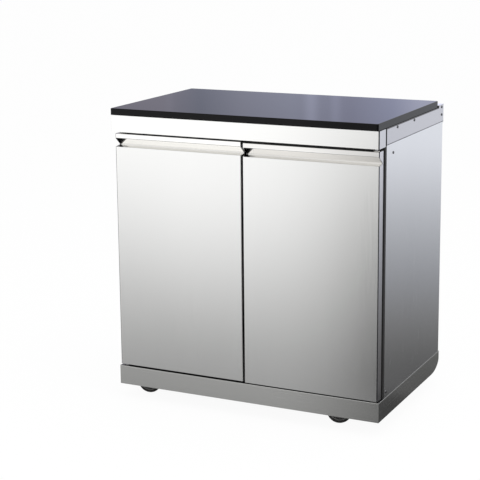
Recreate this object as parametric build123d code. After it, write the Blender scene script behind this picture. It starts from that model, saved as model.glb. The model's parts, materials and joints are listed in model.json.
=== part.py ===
from build123d import *
from math import hypot
import os

# Outdoor kitchen cabinet: two steel doors under a stone worktop, rolling on four swivel castors.
# X runs to the right, Y to the back and Z up. The origin is on the floor, under the middle of the footprint.
# All sizes are in millimetres and all angles in degrees.

# Overall
cabinet_width = 870.0
body_depth = 556.0
worktop_height = 926.0
ground_clearance = 44.0
skirt_height = 60.5

# Worktop slab and the pads under it
worktop_thickness = 20.0
worktop_overhang = 18.0
worktop_left_overhang = 1.0
worktop_right_inset = 3.0
worktop_edge_round = 2.0
worktop_corner_round = 6.0
pad_thickness = 1.0
pad_size = 24.0

# Sheets, bends and fits
outer_sheet = 1.2
panel_sheet = 1.0
door_sheet = 1.0
frame_sheet = 1.5
channel_sheet = 2.0
bend_radius = 2.2
fit_gap = 0.3
running_clearance = 0.05
cut_overrun = 5.0

# Shell round the top
fascia_height = 51.0
fascia_lead = 16.0
fascia_return = 53.0
band_height = 49.0
band_flange = 40.0
band_edge_round = 1.0
seam_gap = 7.0
ledge_depth = 43.5
ledge_height = 6.0
ledge_gap = 1.5
ledge_lip = 30.0
ledge_back = 60.0
ledge_tab = 44.0

# Side and back panels
panel_lap = 12.0
panel_setback = 9.0
panel_rear_flange = 16.0
rear_recess = 2.0

# Base
skirt_flange = 46.0
skirt_rear_radius = 30.0
rear_rail_height = 26.0
rear_rail_flange = 30.0
pan_rear_lip = 10.0

# Front frame, rear posts and cross rails
post_width = 32.0
post_leg = 74.0
post_return = 12.0
top_rail_drop = 42.0
top_rail_flange = 20.0
bottom_rail_flange = 14.0
rear_post_leg = 36.0
cross_rail_front_place = 133.0
cross_rail_rear_place = 279.0
cross_rail_width = 40.0
cross_rail_height = 20.0

# Shelf
shelf_rise = 365.0
shelf_lip = 18.0
shelf_side_gap = 2.0
shelf_depth_gap = 6.0
shelf_rail_size = 20.0

# Doors
door_thickness = 31.0
door_side_inset = 5.0
door_centre_gap = 6.0
door_floor_gap = 5.8
door_top_gap = 7.7
right_door_drop = 2.5
liner_flange = 5.0

# Folded finger pull: heights run down from the door's top edge, depth runs back from its face
lip_height = 14.0
groove_depth = 27.0
groove_fall = 23.0
groove_height = 27.0
pull_tab = 12.0
pull_bend = 1.4

# Door pivots
pivot_inset = 15.0
pin_radius = 4.0
pin_head_radius = 6.5
pin_head_height = 1.6
pin_reach = 12.0
pin_collar_radius = 7.0
bush_radius = 7.0
bush_flange_radius = 9.0
bush_flange = 1.5
bush_length = 12.0
door_swing_clearance = 1.3
thrust_gap = 0.1

# Catches, strikes and bumpers
catch_width = 46.0
catch_height = 14.0
catch_inset = 40.0
catch_slot_depth = 2.0
catch_slot_height = 6.0
strike_width = 40.0
strike_height = 12.0
strike_thickness = 1.0
bumper_radius = 5.0
bumper_tip_radius = 3.8
bumper_free_inset = 84.0
bumper_hinge_inset = 110.0

# Screws on the sides and the back
screw_radius = 2.0
screw_head_radius = 4.3
screw_head_height = 1.8
screw_length = 9.0
screw_hole_gap = 0.1
band_screw_drop = 7.0
ledge_screw_back = 17.0
ledge_screw_upper_drop = 1.0
ledge_screw_lower_drop = 25.0
panel_screw_top_back = 102.0
panel_screw_top_drop = 28.0
panel_screw_foot_back = 62.0
panel_screw_foot_rise = 16.5
back_screw_edge = 8.0
back_screw_end = 40.0
back_screw_rows = 4

# Castors
wheel_radius = 37.5
wheel_width = 22.0
tyre_depth = 8.5
tyre_round = 5.0
rim_depth = 4.0
hub_radius = 11.0
hub_web = 6.0
castor_trail = 45.0
castor_side_inset = 108.0
castor_swing_clearance = 2.6
wheel_top_clearance = 10.5
fork_sheet = 2.5
fork_end_radius = 11.0
fork_head_radius = 26.0
fork_lead = 16.0
fork_side_gap = 1.2
race_height = 2.7
race_taper = 4.0
plate_boss_height = 4.5
plate_thickness = 2.5
plate_length = 95.0
plate_depth = 64.0
plate_corner = 6.0
kingpin_radius = 5.0
kingpin_head_radius = 8.5
kingpin_head_height = 3.6
kingpin_cup_radius = 9.3
kingpin_cup_floor = 2.2
axle_radius = 4.0
axle_head_across = 13.0
axle_head_height = 3.2
bolt_radius = 4.0
bolt_head_across = 13.0
bolt_head_height = 4.6
bolt_nut_height = 6.0
bolt_hole_gap = 0.1
bolt_edge_x = 10.5
bolt_edge_y = 10.0
channel_plate_margin = 2.5
castor_channel_height = 17.8
castor_turns = {"front_left": 12.0, "front_right": 20.0, "rear_left": 6.0, "rear_right": 16.0}

# Shares of the sizes they follow
pad_depth_shares = (0.22, 0.5, 0.78)
pad_width_shares = (-0.25, 0.25)

# Planes and levels, worked out from the sizes above
half_width = cabinet_width / 2
front_y = -(body_depth - worktop_overhang) / 2
back_y = front_y + body_depth
skirt_top = ground_clearance + skirt_height
worktop_bottom = worktop_height - worktop_thickness
shell_top = worktop_bottom - pad_thickness
flange_underside = shell_top - outer_sheet
fascia_bottom = shell_top - fascia_height
band_bottom = shell_top - band_height
panel_top = band_bottom + panel_lap
ledge_top = worktop_bottom + ledge_height
fascia_front = front_y - fascia_lead
fascia_end = fascia_front + fascia_return
band_front = fascia_end + seam_gap
ledge_front = back_y - ledge_depth
worktop_left = -half_width - worktop_left_overhang
worktop_right = half_width - worktop_right_inset
worktop_front = front_y - worktop_overhang
worktop_rear = ledge_front - ledge_gap

door_back = front_y + door_thickness
pivot_y = front_y + door_thickness / 2
door_outer_x = half_width - door_side_inset
door_inner_x = door_centre_gap / 2
pivot_x = door_outer_x - pivot_inset
corner_sweep = hypot(pivot_inset, door_thickness / 2)
door_bottom = skirt_top + door_floor_gap
door_top = fascia_bottom - door_top_gap
lip_bottom = door_top - lip_height
face_top = lip_bottom - groove_height

frame_y = pivot_y + corner_sweep + door_swing_clearance
panel_front = frame_y + panel_setback
panel_outer = half_width - outer_sheet
panel_inner = panel_outer - panel_sheet
panel_rear = back_y - rear_recess
back_panel_outer = panel_rear - panel_sheet
back_panel_inner = back_panel_outer - panel_sheet
post_inner = panel_inner - frame_sheet
post_edge = panel_inner - post_width
top_rail_bottom = fascia_bottom - top_rail_drop
catch_level = top_rail_bottom + catch_height
cross_rail_places = (front_y + cross_rail_front_place, front_y + cross_rail_rear_place)

fork_inner_half = wheel_width / 2 + fork_side_gap + fit_gap
fork_outer_half = fork_inner_half + fork_sheet
fork_bridge_bottom = 2 * wheel_radius + wheel_top_clearance
fork_top = fork_bridge_bottom + fork_sheet
race_top = fork_top + race_height
plate_boss_bottom = race_top + fit_gap
plate_bottom = plate_boss_bottom + plate_boss_height
castor_height = plate_bottom + plate_thickness
castor_channel_width = plate_length + 2 * channel_plate_margin
cup_floor_top = plate_boss_bottom + kingpin_cup_floor
pan_underside = castor_height + castor_channel_height
pan_top = pan_underside + outer_sheet
shelf_underside = pan_top + shelf_rise

swing_radius = hypot(castor_trail + wheel_radius, wheel_width / 2)
castor_end_inset = outer_sheet + swing_radius + castor_swing_clearance
castor_x = half_width - castor_side_inset
castor_axes = {
    "front_left": (-castor_x, front_y + castor_end_inset),
    "front_right": (castor_x, front_y + castor_end_inset),
    "rear_left": (-castor_x, back_y - castor_end_inset),
    "rear_right": (castor_x, back_y - castor_end_inset),
}

parts = {}


# Helpers
def block(x_low, x_high, y_low, y_high, z_low, z_high):
    """A plate or cutter between two corners."""
    size = (x_high - x_low, y_high - y_low, z_high - z_low)
    centre = ((x_low + x_high) / 2, (y_low + y_high) / 2, (z_low + z_high) / 2)
    return Pos(*centre) * Box(*size)


def folded(plane, points, thickness, length, bend=bend_radius):
    """A sheet folded along a line of points, thickened to the right of travel, pulled along the normal."""
    outline = offset(FilletPolyline(*points, radius=bend), amount=thickness, side=Side.RIGHT)
    return extrude(plane * make_face(outline.edges()), amount=length)


def turned(outline_points):
    """A closed outline of radius and height, spun about the upright axis."""
    return revolve(Plane.XZ * make_face(Polyline(*outline_points, close=True)), axis=Axis.Z)


def upright_hole(x, y, radius, z_low, z_high):
    """A round cutter that runs past both levels."""
    height = z_high - z_low + 2 * cut_overrun
    return Pos(x, y, (z_low + z_high) / 2) * Cylinder(radius, height)


def mirrored(solid):
    """The same piece on the other side of the cabinet."""
    return mirror(solid, about=Plane.YZ)


def both_sides(solid):
    """A piece and its mirror image, as separate solids of one node."""
    return Compound(children=[solid, mirrored(solid)])


def hexagon(across_flats, height):
    """A hexagonal bolt head or nut that stands on the ground plane."""
    return extrude(RegularPolygon(across_flats / 2, side_count=6, major_radius=False), amount=height)


def domed_screw(location):
    """A domed screw: its head lies on the plane of the location, its shank runs the other way."""
    ball_radius = (screw_head_radius**2 + screw_head_height**2) / (2 * screw_head_height)
    ball = Pos(0, 0, screw_head_height - ball_radius) * Sphere(ball_radius)
    head = split(ball, bisect_by=Plane.XY)
    shank = Pos(0, 0, -screw_length / 2) * Cylinder(screw_radius, screw_length)
    return location * (head + shank)


def screw_hole(location):
    """The clearance hole of a domed screw."""
    return location * Cylinder(screw_radius + screw_hole_gap, 2 * screw_length)


def drilled(solid, locations):
    """A piece with the clearance holes of its screws."""
    for location in locations:
        solid = solid - screw_hole(location)
    return solid


def side_spot(face_x, y, z):
    """A screw place on the right-hand side, its head facing outwards."""
    return Pos(face_x, y, z) * Rot(0, 90, 0)


# Places of the screws on the right-hand side and on the back
band_screws = [side_spot(half_width, y, shell_top - band_screw_drop) for y in cross_rail_places]
ledge_screws = [
    side_spot(half_width, back_y - ledge_screw_back, shell_top - drop)
    for drop in (ledge_screw_upper_drop, ledge_screw_lower_drop)
]
panel_screws = [
    side_spot(panel_outer, front_y + panel_screw_top_back, band_bottom - panel_screw_top_drop),
    side_spot(panel_outer, front_y + panel_screw_foot_back, skirt_top + panel_screw_foot_rise),
]
back_screw_low = skirt_top + back_screw_end
back_screw_step = (band_bottom - back_screw_end - back_screw_low) / (back_screw_rows - 1)
back_screws = [
    Pos(panel_outer - back_screw_edge, panel_rear, back_screw_low + row * back_screw_step) * Rot(-90, 0, 0)
    for row in range(back_screw_rows)
]


# Base skirts: upright walls with a flange turned inwards at the top
def front_skirt():
    points = [
        (front_y, ground_clearance),
        (front_y, skirt_top),
        (front_y + skirt_flange, skirt_top),
    ]
    skirt = folded(Plane.YZ.offset(-half_width), points, outer_sheet, cabinet_width)
    flange_low = ground_clearance - cut_overrun
    flange_high = skirt_top + cut_overrun
    corner = block(
        panel_outer,
        half_width + cut_overrun,
        front_y + outer_sheet,
        front_y + skirt_flange + cut_overrun,
        flange_low,
        flange_high,
    )
    hole = upright_hole(pivot_x, pivot_y, pin_radius + running_clearance, skirt_top, skirt_top)
    return skirt - corner - mirrored(corner) - hole - mirrored(hole)


def side_skirt():
    start = front_y + outer_sheet
    points = [
        (half_width - skirt_flange, skirt_top),
        (half_width, skirt_top),
        (half_width, ground_clearance),
    ]
    skirt = folded(Plane.XZ.offset(-start), points, outer_sheet, start - back_y)
    corner = skirt.edges().filter_by(Axis.X).group_by(Axis.Z)[0].sort_by(Axis.Y)[-1]
    skirt = fillet(corner, skirt_rear_radius)
    inner = half_width - skirt_flange - cut_overrun
    low = skirt_top - outer_sheet - bend_radius
    high = skirt_top + cut_overrun
    front_relief = block(inner, panel_outer, start - cut_overrun, front_y + skirt_flange, low, high)
    rear_relief = block(inner, panel_outer, back_y - rear_rail_flange, back_y + cut_overrun, low, high)
    return skirt - front_relief - rear_relief


parts["skirt_front"] = front_skirt()
parts["skirt_right"] = side_skirt()
parts["skirt_left"] = mirrored(parts["skirt_right"])


# Rear rail of the base: a channel between the side skirts, open to the front
def base_rear_rail():
    rear_rail_bottom = skirt_top - rear_rail_height
    points = [
        (back_y - rear_rail_flange, skirt_top),
        (back_y, skirt_top),
        (back_y, rear_rail_bottom),
        (back_y - rear_rail_flange, rear_rail_bottom),
    ]
    return folded(Plane.YZ.offset(-panel_outer), points, outer_sheet, 2 * panel_outer)


parts["base_rear_rail"] = base_rear_rail()


# Base pan: a floor with turned-down sides and rear, notched round the front posts
def base_pan():
    pan_half = post_inner - fit_gap
    pan_rear = back_panel_inner - fit_gap
    points = [
        (-pan_half, skirt_top),
        (-pan_half, pan_top),
        (pan_half, pan_top),
        (pan_half, skirt_top),
    ]
    pan = folded(Plane.XZ.offset(-frame_y), points, outer_sheet, frame_y - pan_rear)
    notch = block(
        post_edge - fit_gap,
        half_width,
        frame_y - cut_overrun,
        frame_y + post_return + fit_gap,
        skirt_top - cut_overrun,
        pan_top + cut_overrun,
    )
    lip_half = pan_half - outer_sheet
    lip_low = pan_underside - pan_rear_lip
    lip = block(-lip_half, lip_half, pan_rear - outer_sheet, pan_rear, lip_low, pan_underside)
    return pan - notch - mirrored(notch) + lip


parts["base_pan"] = base_pan()


# Castor channels: two stiffeners under the pan that carry the castor plates
def castor_channel():
    left = castor_x - castor_channel_width / 2
    right = castor_x + castor_channel_width / 2
    start = frame_y + bottom_rail_flange + fit_gap
    end = back_y - rear_rail_flange - fit_gap
    points = [
        (right, pan_underside),
        (right, castor_height),
        (left, castor_height),
        (left, pan_underside),
    ]
    channel = folded(Plane.XZ.offset(-start), points, channel_sheet, start - end, bend_radius + channel_sheet)
    for name in ("front_right", "rear_right"):
        for x, y in bolt_places(castor_axes[name]):
            channel -= upright_hole(x, y, bolt_radius + bolt_hole_gap, castor_height, castor_height)
    return channel


def bolt_places(axis_place):
    """The four bolt centres of one castor plate."""
    x, y = axis_place
    half_x = plate_length / 2 - bolt_edge_x
    half_y = plate_depth / 2 - bolt_edge_y
    return [(x + sx * half_x, y + sy * half_y) for sx in (-1, 1) for sy in (-1, 1)]


parts["castor_channel_right"] = castor_channel()
parts["castor_channel_left"] = mirrored(parts["castor_channel_right"])


# Front frame: two posts, a top rail and a bottom rail behind the doors
def front_post():
    points = [
        (panel_inner, frame_y + post_leg),
        (panel_inner, frame_y),
        (post_edge, frame_y),
        (post_edge, frame_y + post_return),
    ]
    height = flange_underside - skirt_top
    post = folded(Plane.XY.offset(skirt_top), points, frame_sheet, height)
    return drilled(post, panel_screws)


def front_top_rail():
    points = [
        (frame_y + top_rail_flange, top_rail_bottom),
        (frame_y, top_rail_bottom),
        (frame_y, flange_underside),
        (frame_y + top_rail_flange, flange_underside),
    ]
    return folded(Plane.YZ.offset(-post_edge), points, frame_sheet, 2 * post_edge)


def front_bottom_rail():
    points = [
        (frame_y, skirt_top),
        (frame_y, pan_underside),
        (frame_y + bottom_rail_flange, pan_underside),
    ]
    return folded(Plane.YZ.offset(-post_edge), points, frame_sheet, 2 * post_edge)


parts["front_post_right"] = front_post()
parts["front_post_left"] = mirrored(parts["front_post_right"])
parts["front_top_rail"] = front_top_rail()
parts["front_bottom_rail"] = front_bottom_rail()


# Rear posts: angles in the rear corners, standing on the pan
def rear_post():
    points = [
        (panel_inner - rear_post_leg, back_panel_inner),
        (panel_inner, back_panel_inner),
        (panel_inner, back_panel_inner - rear_post_leg),
    ]
    post = folded(Plane.XY.offset(pan_top), points, frame_sheet, panel_top - pan_top)
    return drilled(post, back_screws)


parts["rear_post_right"] = rear_post()
parts["rear_post_left"] = mirrored(parts["rear_post_right"])


# Side panels, folded round the rear corners, and the back panel inside that fold
def side_panel():
    points = [
        (panel_outer - panel_rear_flange, panel_rear),
        (panel_outer, panel_rear),
        (panel_outer, panel_front),
    ]
    panel = folded(Plane.XY.offset(skirt_top), points, panel_sheet, panel_top - skirt_top)
    return drilled(panel, panel_screws + back_screws)


def back_panel():
    half = panel_outer - bend_radius
    panel = block(-half, half, back_panel_inner, back_panel_outer, skirt_top, panel_top)
    panel = drilled(panel, back_screws)
    return mirrored(drilled(mirrored(panel), back_screws))


parts["side_panel_right"] = side_panel()
parts["side_panel_left"] = mirrored(parts["side_panel_right"])
parts["back_panel"] = back_panel()


# Side bands: a wall and a top flange that carries the slab, stepped up beside the rear ledge
def side_band():
    points = [
        (half_width - band_flange, shell_top),
        (half_width, shell_top),
        (half_width, band_bottom),
    ]
    band = folded(Plane.XZ.offset(-band_front), points, outer_sheet, band_front - ledge_front)
    band += block(panel_outer, half_width, ledge_front, back_y, band_bottom, ledge_top)
    lower_edges = band.edges().filter_by(Axis.Y).group_by(Axis.Z)[0]
    band = fillet(lower_edges.group_by(Axis.X)[-1], band_edge_round)
    return drilled(band, band_screws + ledge_screws)


parts["side_band_right"] = side_band()
parts["side_band_left"] = mirrored(parts["side_band_right"])


# Front fascia: folded round both front corners, with a flange at the top and one at the bottom
def front_fascia():
    points = [
        (half_width, fascia_end),
        (half_width, fascia_front),
        (-half_width, fascia_front),
        (-half_width, fascia_end),
    ]
    fascia = folded(Plane.XY.offset(fascia_bottom), points, outer_sheet, fascia_height)
    inner_front = fascia_front + outer_sheet
    fascia += block(-panel_outer, panel_outer, inner_front, frame_y, flange_underside, shell_top)
    fascia += block(
        -panel_outer,
        panel_outer,
        inner_front,
        frame_y,
        fascia_bottom,
        fascia_bottom + outer_sheet,
    )
    hole = upright_hole(pivot_x, pivot_y, pin_radius + running_clearance, fascia_bottom, fascia_bottom)
    return fascia - hole - mirrored(hole)


parts["fascia"] = front_fascia()


# Rear ledge: a folded channel behind the slab, with a tab at each end for the band screws
def rear_ledge():
    points = [
        (ledge_front, ledge_top - ledge_lip),
        (ledge_front, ledge_top),
        (back_y, ledge_top),
        (back_y, ledge_top - ledge_back),
    ]
    ledge = folded(Plane.YZ.offset(-panel_outer), points, outer_sheet, 2 * panel_outer)
    tab = block(
        panel_outer - outer_sheet,
        panel_outer,
        ledge_front + outer_sheet,
        back_y - outer_sheet,
        ledge_top - ledge_tab,
        ledge_top - outer_sheet,
    )
    tab = drilled(tab, ledge_screws)
    return ledge + tab + mirrored(tab)


parts["rear_ledge"] = rear_ledge()


# Cross rails: channels under the slab from band to band, closed by a tab at each end
def cross_rail(place):
    front = place - cross_rail_width / 2
    rear = place + cross_rail_width / 2
    low = flange_underside - cross_rail_height
    points = [(front, low), (front, flange_underside), (rear, flange_underside), (rear, low)]
    rail = folded(Plane.YZ.offset(-panel_outer), points, outer_sheet, 2 * panel_outer)
    tab = block(
        panel_outer - outer_sheet,
        panel_outer,
        front + outer_sheet,
        rear - outer_sheet,
        low,
        flange_underside - outer_sheet,
    )
    tab = drilled(tab, band_screws)
    corner = block(
        half_width - bend_radius,
        half_width,
        front - cut_overrun,
        rear + cut_overrun,
        shell_top - bend_radius,
        shell_top,
    )
    return rail + tab + mirrored(tab) - corner - mirrored(corner)


parts["cross_rails"] = Compound(children=[cross_rail(place) for place in cross_rail_places])


# Worktop slab with eased edges; it lies a little to the left, as the photograph shows
def worktop():
    slab = block(worktop_left, worktop_right, worktop_front, worktop_rear, worktop_bottom, worktop_height)
    slab = fillet(slab.edges().filter_by(Axis.Z), worktop_corner_round)
    return fillet(slab.faces().sort_by(Axis.Z)[-1].edges(), worktop_edge_round)


def pad(x, y, seat):
    """A thin rubber pad between its seat and the underside of the slab."""
    half = pad_size / 2
    return block(x - half, x + half, y - half, y + half, seat, worktop_bottom)


def worktop_pads():
    flange_x = half_width - band_flange / 2
    flange_length = ledge_front - band_front
    fascia_y = (fascia_front + frame_y) / 2
    pads = []
    for share in pad_depth_shares:
        for side in (-1, 1):
            pads.append(pad(side * flange_x, band_front + share * flange_length, shell_top))
    for share in pad_width_shares:
        pads.append(pad(share * cabinet_width, fascia_y, shell_top))
        for place in cross_rail_places:
            pads.append(pad(share * cabinet_width, place, flange_underside))
    return Compound(children=pads)


parts["worktop"] = worktop()
parts["worktop_pads"] = worktop_pads()


# Shelf on two rails
def shelf():
    half = post_inner - shelf_side_gap
    top = shelf_underside + panel_sheet
    front = frame_y + post_return + shelf_depth_gap
    rear = back_panel_inner - frame_sheet - shelf_depth_gap
    points = [(front, top - shelf_lip), (front, top), (rear, top), (rear, top - shelf_lip)]
    return folded(Plane.YZ.offset(-half), points, panel_sheet, 2 * half)


def shelf_rail():
    start = frame_y + post_leg + fit_gap
    end = back_panel_inner - rear_post_leg - fit_gap
    points = [
        (panel_inner - shelf_rail_size, shelf_underside),
        (panel_inner, shelf_underside),
        (panel_inner, shelf_underside - shelf_rail_size),
    ]
    return folded(Plane.XZ.offset(-start), points, frame_sheet, start - end)


parts["shelf"] = shelf()
parts["shelf_rails"] = both_sides(shelf_rail())


# Doors, drawn on the right-hand side at the left door's height
def door_skin():
    """The outer sheet: a face with side and bottom flanges, notched where the finger pull crosses it."""
    points = [
        (door_outer_x, door_back),
        (door_outer_x, front_y),
        (door_inner_x, front_y),
        (door_inner_x, door_back),
    ]
    skin = folded(Plane.XY.offset(door_bottom), points, door_sheet, door_top - door_bottom)
    skin -= block(
        door_inner_x + bend_radius,
        door_outer_x - bend_radius,
        front_y - cut_overrun,
        front_y + door_sheet,
        face_top,
        door_top + cut_overrun,
    )
    groove_deep = (front_y + groove_depth, lip_bottom - groove_fall)
    notch = make_face(Polyline((front_y, lip_bottom), groove_deep, (front_y, face_top), close=True))
    notch_start = door_inner_x - cut_overrun
    skin -= extrude(Plane.YZ.offset(notch_start) * notch, amount=door_outer_x + cut_overrun - notch_start)
    skin += block(
        door_inner_x + door_sheet,
        door_outer_x - door_sheet,
        front_y + door_sheet,
        door_back - door_sheet,
        door_bottom,
        door_bottom + door_sheet,
    )
    return skin - upright_hole(pivot_x, pivot_y, bush_radius + running_clearance, door_bottom, door_bottom)


def door_pull():
    """One folded strip: tab behind the face, groove floor, slanted groove wall, lip and top flange."""
    face_inner = front_y + door_sheet
    points = [
        (face_inner, face_top - pull_tab),
        (face_inner, face_top),
        (front_y + groove_depth, lip_bottom - groove_fall),
        (front_y, lip_bottom),
        (front_y, door_top),
        (door_back, door_top),
    ]
    start = door_inner_x + bend_radius
    length = door_outer_x - bend_radius - start
    pull = folded(Plane.YZ.offset(start), points, door_sheet, length, pull_bend)
    return pull - upright_hole(pivot_x, pivot_y, bush_radius + running_clearance, door_top, door_top)


def door_liner():
    """The back sheet, a shallow pan between the side flanges of the skin."""
    inner = door_inner_x + door_sheet
    outer = door_outer_x - door_sheet
    flange_front = door_back - liner_flange
    low = door_bottom + door_sheet
    high = door_top - door_sheet
    points = [(inner, flange_front), (inner, door_back), (outer, door_back), (outer, flange_front)]
    liner = folded(Plane.XY.offset(low), points, door_sheet, high - low, bend=door_sheet + fit_gap)
    sheet_front = door_back - door_sheet
    span = (inner + door_sheet, outer - door_sheet, flange_front, sheet_front)
    liner += block(*span, low, low + door_sheet)
    liner += block(*span, high - door_sheet, high)
    return liner


def door_bush(flange_edge, way):
    """A flanged bush; way is 1 for the top bush and -1 for the one under the door."""
    bore = pin_radius + running_clearance
    points = [
        (bore, flange_edge - way * bush_length),
        (bush_radius, flange_edge - way * bush_length),
        (bush_radius, flange_edge),
        (bush_flange_radius, flange_edge),
        (bush_flange_radius, flange_edge + way * bush_flange),
        (bore, flange_edge + way * bush_flange),
    ]
    return Pos(pivot_x, pivot_y, 0) * turned(points)


def door_strike():
    """The steel plate on the liner that the catch holds."""
    centre_x = door_inner_x + catch_inset
    plate = block(
        centre_x - strike_width / 2,
        centre_x + strike_width / 2,
        door_back,
        door_back + strike_thickness,
        catch_level - strike_height / 2,
        catch_level + strike_height / 2,
    )
    return fillet(plate.edges().filter_by(Axis.Y), strike_thickness)


door_pieces = {
    "skin": door_skin(),
    "pull": door_pull(),
    "liner": door_liner(),
    "bushes": Compound(children=[door_bush(door_top, 1), door_bush(door_bottom, -1)]),
    "strike": door_strike(),
}
for name, piece in door_pieces.items():
    parts["left_door_" + name] = mirrored(piece)
    parts["right_door_" + name] = Pos(0, 0, -right_door_drop) * piece


# Pivot pins: the upper ones hang in the fascia flange, the lower ones stand on the skirt flange
def upper_pin(x, drop):
    seat = fascia_bottom + outer_sheet
    points = [
        (0, door_top - drop - pin_reach),
        (pin_radius, door_top - drop - pin_reach),
        (pin_radius, seat),
        (pin_head_radius, seat),
        (pin_head_radius, seat + pin_head_height),
        (0, seat + pin_head_height),
    ]
    return Pos(x, pivot_y, 0) * turned(points)


def lower_pin(x, drop):
    seat = skirt_top - outer_sheet
    door_edge = door_bottom - drop
    collar_top = door_edge - bush_flange - thrust_gap
    points = [
        (0, seat - pin_head_height),
        (pin_head_radius, seat - pin_head_height),
        (pin_head_radius, seat),
        (pin_radius, seat),
        (pin_radius, skirt_top),
        (pin_collar_radius, skirt_top),
        (pin_collar_radius, collar_top),
        (pin_radius, collar_top),
        (pin_radius, door_edge + pin_reach),
        (0, door_edge + pin_reach),
    ]
    return Pos(x, pivot_y, 0) * turned(points)


parts["door_pins"] = Compound(
    children=[
        upper_pin(-pivot_x, 0),
        upper_pin(pivot_x, right_door_drop),
        lower_pin(-pivot_x, 0),
        lower_pin(pivot_x, right_door_drop),
    ]
)


# Magnetic catches and rubber bumpers on the top rail
def magnetic_catch():
    face = door_back + strike_thickness + fit_gap
    left = door_inner_x + catch_inset - catch_width / 2
    right = left + catch_width
    half = catch_height / 2
    body = block(left, right, face, frame_y, catch_level - half, catch_level + half)
    body = fillet(body.edges().filter_by(Axis.Y), strike_thickness)
    slot_half = catch_slot_height / 2
    return body - block(
        left + catch_slot_depth,
        right - catch_slot_depth,
        face - cut_overrun,
        face + catch_slot_depth,
        catch_level - slot_half,
        catch_level + slot_half,
    )


def bumper(x):
    length = frame_y - door_back - fit_gap
    cone = Cone(bumper_radius, bumper_tip_radius, length)
    return Pos(x, frame_y - length / 2, catch_level) * Rot(90, 0, 0) * cone


free_bumper = bumper(door_inner_x + bumper_free_inset)
hinge_bumper = bumper(door_outer_x - bumper_hinge_inset)
parts["magnetic_catches"] = both_sides(magnetic_catch())
parts["door_bumpers"] = Compound(
    children=[free_bumper, mirrored(free_bumper), hinge_bumper, mirrored(hinge_bumper)]
)


# Screws
def screw_group(locations):
    """The screws of one kind, on both sides of the cabinet."""
    screws = []
    for location in locations:
        screw = domed_screw(location)
        screws += [screw, mirrored(screw)]
    return Compound(children=screws)


parts["band_screws"] = screw_group(band_screws + ledge_screws)
parts["panel_screws"] = screw_group(panel_screws)
parts["back_screws"] = screw_group(back_screws)


# Castors, each drawn on its swivel axis at the origin with the wheel trailing to the left
def castor_plate():
    """The mounting plate with the upper race and the cup for the kingpin's head."""
    plate = Pos(0, 0, plate_bottom + plate_thickness / 2) * Box(plate_length, plate_depth, plate_thickness)
    plate = fillet(plate.edges().filter_by(Axis.Z), plate_corner)
    plate += turned(
        [
            (0, plate_boss_bottom),
            (fork_head_radius - race_taper, plate_boss_bottom),
            (fork_head_radius, plate_bottom),
            (0, plate_bottom),
        ]
    )
    cup_height = castor_height + cut_overrun - cup_floor_top
    plate -= Pos(0, 0, cup_floor_top + cup_height / 2) * Cylinder(kingpin_cup_radius, cup_height)
    plate -= upright_hole(0, 0, kingpin_radius + running_clearance, plate_boss_bottom, cup_floor_top)
    for x, y in bolt_places((0, 0)):
        plate -= upright_hole(x, y, bolt_radius + bolt_hole_gap, plate_bottom, castor_height)
    return plate


def castor_fork():
    """Two legs under a bridge, the lower race and the kingpin that is riveted into the plate."""
    head_half = fork_head_radius
    top_edge = Line((-head_half, fork_top), (fork_lead, fork_top))
    axle_end = Pos(-castor_trail, wheel_radius) * Circle(fork_end_radius)
    leg_outline = Plane.XZ * make_hull(axle_end.edges() + [top_edge])
    leg = Pos(0, fork_outer_half, 0) * extrude(leg_outline, amount=fork_sheet)
    legs = leg + mirror(leg, about=Plane.XZ)
    bridge = block(
        -head_half, fork_lead, -fork_inner_half, fork_inner_half, fork_bridge_bottom, fork_top
    )
    head = turned(
        [
            (0, fork_bridge_bottom),
            (fork_head_radius, fork_bridge_bottom),
            (fork_head_radius, fork_top),
            (fork_head_radius - race_taper, race_top),
            (0, race_top),
        ]
    )
    head_low = cup_floor_top + thrust_gap
    kingpin = turned(
        [
            (0, fork_top),
            (kingpin_radius, fork_top),
            (kingpin_radius, head_low),
            (kingpin_head_radius, head_low),
            (kingpin_head_radius, head_low + kingpin_head_height / 2),
            (kingpin_radius, head_low + kingpin_head_height),
            (0, head_low + kingpin_head_height),
        ]
    )
    fork = legs + bridge + head + kingpin
    axle_hole = Rot(90, 0, 0) * Cylinder(axle_radius + running_clearance, 2 * fork_outer_half + cut_overrun)
    return fork - Pos(-castor_trail, 0, wheel_radius) * axle_hole


def castor_axle():
    """The axle bolt through the legs, with a hexagonal head and nut."""
    shank = Rot(90, 0, 0) * Cylinder(axle_radius, 2 * fork_outer_half)
    head = Pos(0, -fork_outer_half, 0) * Rot(90, 0, 0) * hexagon(axle_head_across, axle_head_height)
    axle = shank + head + mirror(head, about=Plane.XZ)
    return Pos(-castor_trail, 0, wheel_radius) * axle


def on_axle(solid):
    """A wheel piece turned about an upright axis, laid on the axle."""
    return Pos(-castor_trail, 0, wheel_radius) * Rot(90, 0, 0) * solid


def castor_wheel():
    """The moulded centre: hub, web and rim."""
    rim_outer = wheel_radius - tyre_depth
    rim_inner = rim_outer - rim_depth
    hub_half = fork_inner_half - fit_gap
    rim_half = wheel_width / 2
    web_half = hub_web / 2
    bore = axle_radius + running_clearance
    upper = [
        (rim_outer, rim_half),
        (rim_inner, rim_half),
        (rim_inner, web_half),
        (hub_radius, web_half),
        (hub_radius, hub_half),
        (bore, hub_half),
    ]
    lower = [(radius, -height) for radius, height in reversed(upper)]
    return on_axle(turned(lower + upper))


def castor_tyre():
    """The tyre, with rounded shoulders."""
    rim_outer = wheel_radius - tyre_depth
    half = wheel_width / 2
    section = make_face(
        Polyline((rim_outer, -half), (wheel_radius, -half), (wheel_radius, half), (rim_outer, half), close=True)
    )
    shoulders = section.vertices().group_by(Axis.X)[-1]
    return on_axle(revolve(Plane.XZ * fillet(shoulders, tyre_round), axis=Axis.Z))


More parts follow.
